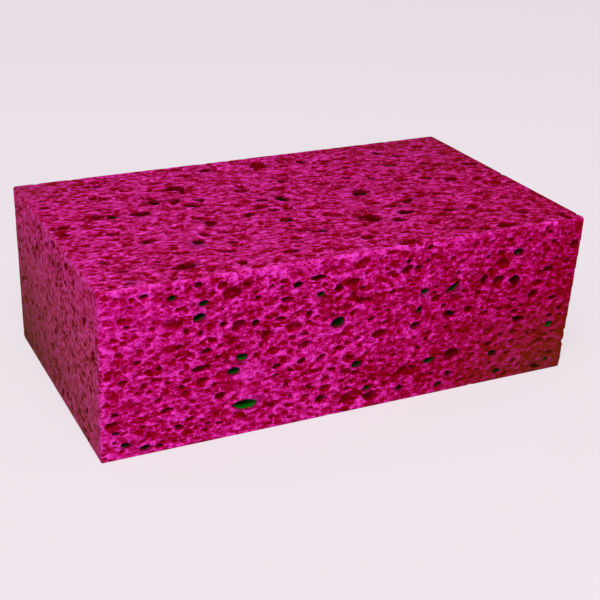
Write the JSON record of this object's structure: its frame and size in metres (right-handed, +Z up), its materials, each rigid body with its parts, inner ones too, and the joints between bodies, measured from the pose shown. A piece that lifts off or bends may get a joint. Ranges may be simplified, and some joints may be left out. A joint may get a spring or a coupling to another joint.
{
  "type": "washing sponge",
  "caption": "Thick rectangular block of open-celled cellulose foam with pores of many sizes on every face.",
  "frame": {"origin": "middle of the bounding box's base, on the surface the sponge lies on", "axes": "+X along the block's length, +Y from the long front face to the back, +Z up from the broad face it lies on"},
  "size_m": [0.19, 0.1124, 0.0655],
  "materials": {
    "cellulose_foam": "matt, open-celled foam, pinkish magenta walls with dark red to black-green pores"
  },
  "bodies": {
    "root": {"sponge_block": "cellulose_foam"}
  },
  "joints": []
}
